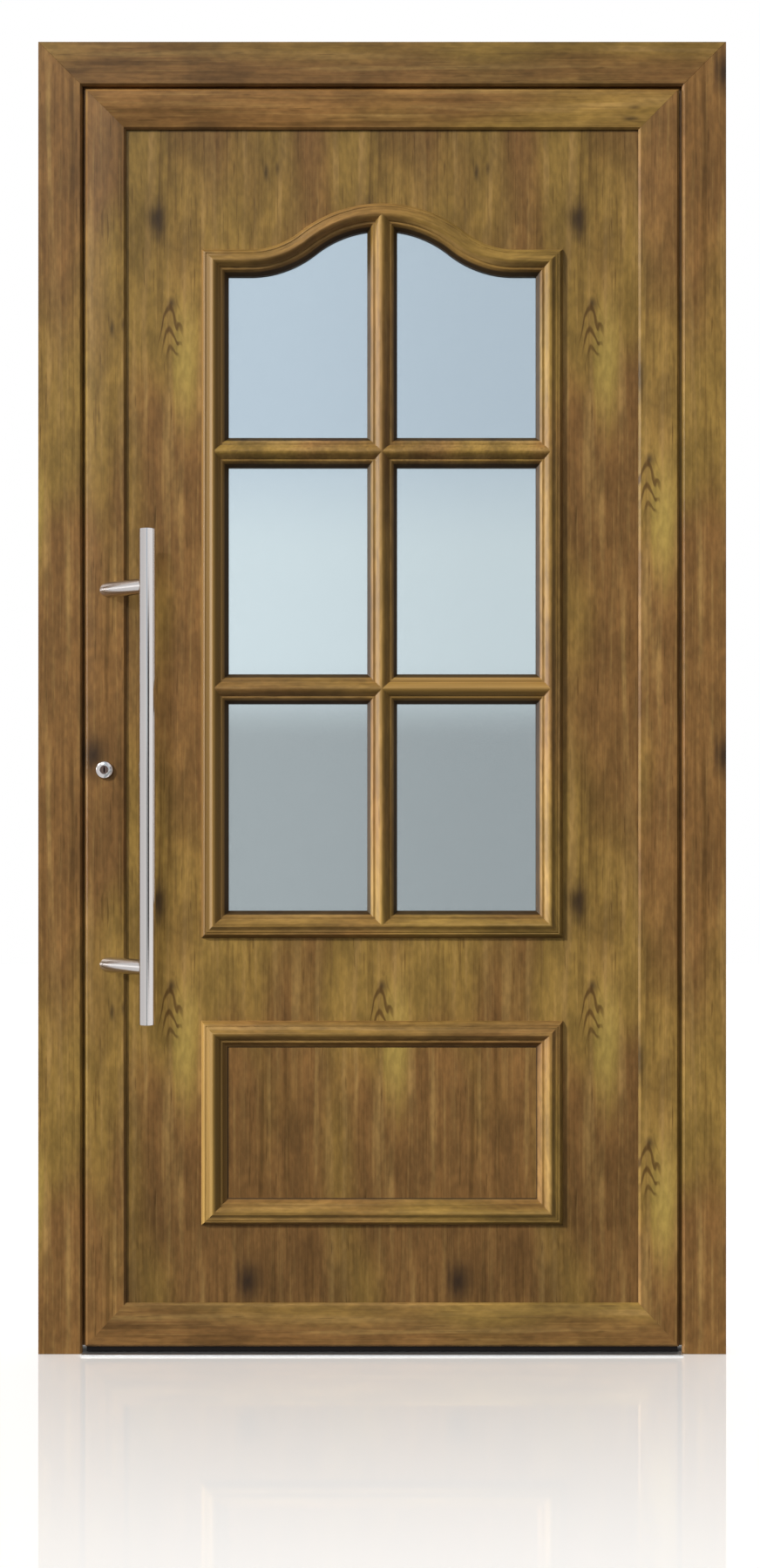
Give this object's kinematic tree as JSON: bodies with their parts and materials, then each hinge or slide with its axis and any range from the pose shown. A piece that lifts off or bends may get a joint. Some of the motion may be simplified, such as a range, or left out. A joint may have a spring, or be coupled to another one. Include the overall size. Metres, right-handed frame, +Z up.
{
  "type": "panelled front door in its frame",
  "caption": "Wood-grain front door leaf in its frame, with an arched barred window, a raised lower field, a long pull bar outside and a lever inside.",
  "frame": {"origin": "middle of the frame's width and of its profile depth, at the floor under the threshold", "axes": "+X across the door to the hinge side seen from outside, +Y from outside to inside, +Z up"},
  "size_m": [1.1, 0.2205, 2.1],
  "materials": {
    "profile_foil": "wood-grain foil on aluminium, satin",
    "panel_wood": "satin wood-grain foil",
    "moulding_wood": "satin wood-grain foil",
    "gasket_black": "matt",
    "block_plastic": "matt",
    "sill_aluminium": "natural anodised",
    "window_glass": "clear, polished",
    "satin_steel": "satin, brushed along its length",
    "lock_steel": "satin",
    "hinge_steel": "brown powder coat",
    "cylinder_brass": "nickel-plated brass"
  },
  "bodies": {
    "frame": {"lock_jamb": "profile_foil", "hinge_jamb": "profile_foil", "frame_head": "profile_foil", "frame_corner_cleats": "sill_aluminium", "frame_gasket": "gasket_black", "threshold": "sill_aluminium", "lock_strike": "lock_steel", "upper_pin_strike": "lock_steel", "lower_pin_strike": "lock_steel", "strike_screws": "lock_steel", "upper_hinge_frame_leaf": "hinge_steel", "middle_hinge_frame_leaf": "hinge_steel", "lower_hinge_frame_leaf": "hinge_steel", "hinge_pins": "hinge_steel", "hinge_frame_screws": "hinge_steel"},
    "leaf": {"lock_stile": "profile_foil", "hinge_stile": "profile_foil", "top_rail": "profile_foil", "bottom_rail": "profile_foil", "sash_corner_cleats": "sill_aluminium", "door_sweep": "gasket_black", "panel_gasket": "gasket_black", "door_panel": "panel_wood", "setting_blocks": "block_plastic", "lock_side_bead": "profile_foil", "hinge_side_bead": "profile_foil", "top_bead": "profile_foil", "bottom_bead": "profile_foil", "outer_window_moulding": "moulding_wood", "inner_window_moulding": "moulding_wood", "outer_field_moulding": "moulding_wood", "inner_field_moulding": "moulding_wood", "outer_mullion": "moulding_wood", "outer_crossbars": "moulding_wood", "inner_mullion": "moulding_wood", "inner_crossbars": "moulding_wood", "outer_pane": "window_glass", "glass_spacer": "sill_aluminium", "inner_pane": "window_glass", "outer_glass_seal": "gasket_black", "inner_glass_seal": "gasket_black", "upper_hinge_sash_leaf": "hinge_steel", "middle_hinge_sash_leaf": "hinge_steel", "lower_hinge_sash_leaf": "hinge_steel", "hinge_sash_screws": "hinge_steel", "lock_faceplate": "lock_steel", "lock_case": "lock_steel", "pin_bolt_cases": "lock_steel", "faceplate_screws": "lock_steel", "cylinder_body": "cylinder_brass", "outer_rose": "satin_steel", "inner_rose": "satin_steel", "pull_bar": "satin_steel", "pull_supports": "satin_steel", "lever_rose": "satin_steel"},
    "latch": {"latch": "lock_steel"},
    "deadbolt": {"deadbolt": "lock_steel"},
    "pin_bolts": {"pin_bolts": "lock_steel"},
    "key_plug": {"cylinder_plug": "cylinder_brass"},
    "lever": {"lever": "satin_steel"}
  },
  "joints": [
    {"name": "leaf_swing", "type": "hinge", "parent": "frame", "child": "leaf", "pos_m": [0.4975, 0.047, 1.05], "axis": [0, 0, -1], "range_deg": [0, 100]},
    {"name": "key_turn", "type": "hinge", "parent": "leaf", "child": "key_plug", "pos_m": [-0.444, 0, 0.935], "axis": [0, 1, 0], "range_deg": [0, 360]},
    {"name": "lever_turn", "type": "hinge", "parent": "leaf", "child": "lever", "pos_m": [-0.444, 0.05, 1.027], "axis": [0, 1, 0], "range_deg": [0, 40], "stiffness_Nm_per_rad": 1, "springref_deg": -34.38},
    {"name": "latch_slide", "type": "slide", "parent": "leaf", "child": "latch", "axis": [-1, 0, 0], "range_m": [0, 0.012]},
    {"name": "deadbolt_slide", "type": "slide", "parent": "leaf", "child": "deadbolt", "axis": [-1, 0, 0], "range_m": [0, 0.02]},
    {"name": "pin_slide", "type": "slide", "parent": "leaf", "child": "pin_bolts", "axis": [-1, 0, 0], "range_m": [0, 0.02]}
  ],
  "couplings": [
    {"joint": "key_turn", "follows": "deadbolt_slide", "rad_per_m": 314.16},
    {"joint": "latch_slide", "follows": "deadbolt_slide", "ratio": 0.6},
    {"joint": "pin_slide", "follows": "deadbolt_slide", "ratio": 1}
  ]
}
